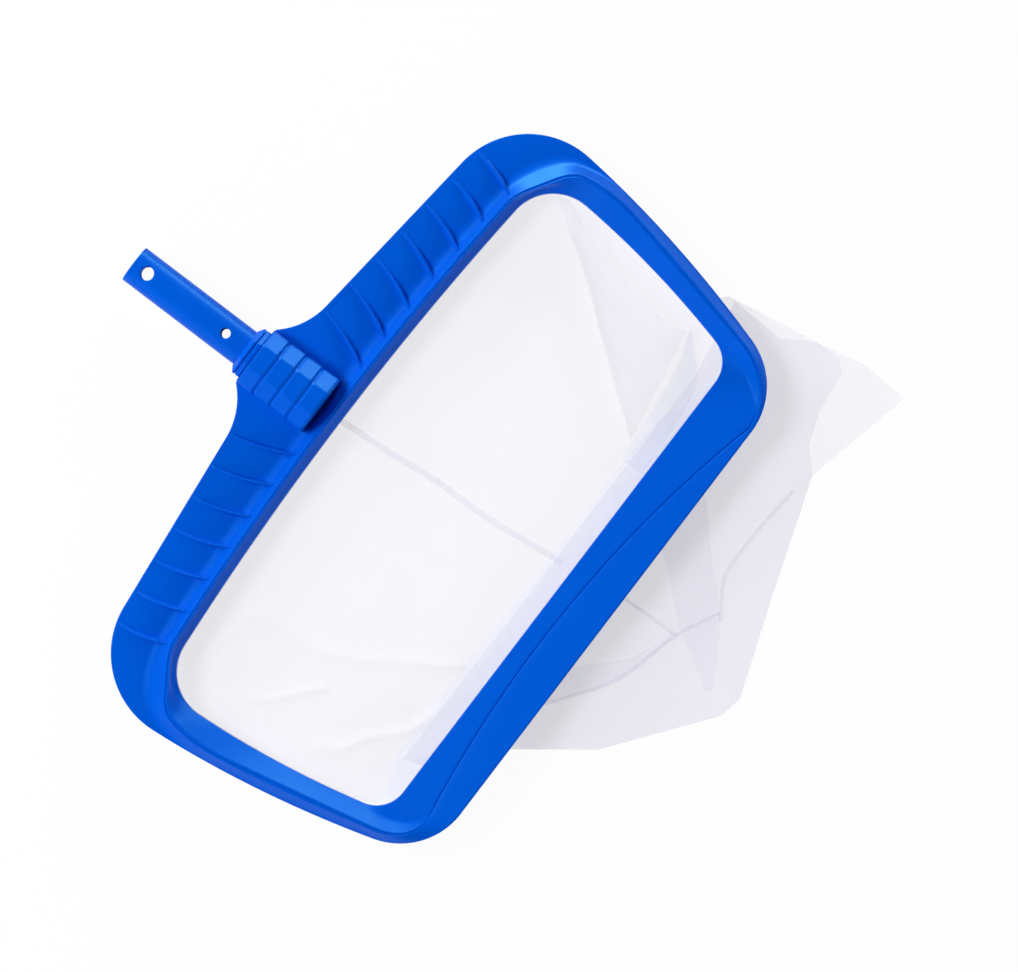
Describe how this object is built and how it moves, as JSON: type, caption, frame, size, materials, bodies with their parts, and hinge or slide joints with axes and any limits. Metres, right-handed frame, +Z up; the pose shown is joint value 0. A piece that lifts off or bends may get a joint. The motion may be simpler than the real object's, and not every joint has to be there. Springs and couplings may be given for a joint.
{
  "type": "swimming pool leaf rake",
  "caption": "Wide scoop-shaped pool leaf rake: moulded frame with a curved rear ring, ribbed wings and handle socket, a pole spigot, and a mesh bag clamped under the mouth.",
  "frame": {"origin": "middle of the flat under the handle socket, on the surface that the rake lies on", "axes": "+Y along the handle away from the mouth, -Y towards the scoop lip, +X to the right seen from above, +Z up"},
  "size_m": [0.518, 0.5348, 0.046],
  "materials": {
    "blue_plastic": "smooth moulded plastic with a soft gloss",
    "screw_steel": "plain stainless steel",
    "hem_fabric": "tight woven band",
    "mesh_fabric": "fine translucent mesh"
  },
  "bodies": {
    "root": {"scoop_frame": "blue_plastic", "rear_clamp_strip": "blue_plastic", "front_clamp_strip": "blue_plastic", "right_clamp_strip": "blue_plastic", "left_clamp_strip": "blue_plastic", "clamp_screw_01": "screw_steel", "clamp_screw_02": "screw_steel", "clamp_screw_03": "screw_steel", "clamp_screw_04": "screw_steel", "clamp_screw_05": "screw_steel", "clamp_screw_06": "screw_steel", "clamp_screw_07": "screw_steel", "clamp_screw_08": "screw_steel", "clamp_screw_09": "screw_steel", "clamp_screw_10": "screw_steel", "clamp_screw_11": "screw_steel", "clamp_screw_12": "screw_steel", "socket_cover": "blue_plastic", "neck_collar": "blue_plastic", "handle_tube": "blue_plastic", "cover_screw_1": "screw_steel", "cover_screw_2": "screw_steel", "cover_screw_3": "screw_steel", "cover_screw_4": "screw_steel", "tube_lock_screw": "screw_steel", "hem_cord": "hem_fabric", "hem_band": "hem_fabric", "lip_hem": "hem_fabric", "net_floor_panel": "mesh_fabric", "net_front_panel": "mesh_fabric", "net_tail_panel": "mesh_fabric"}
  },
  "joints": []
}
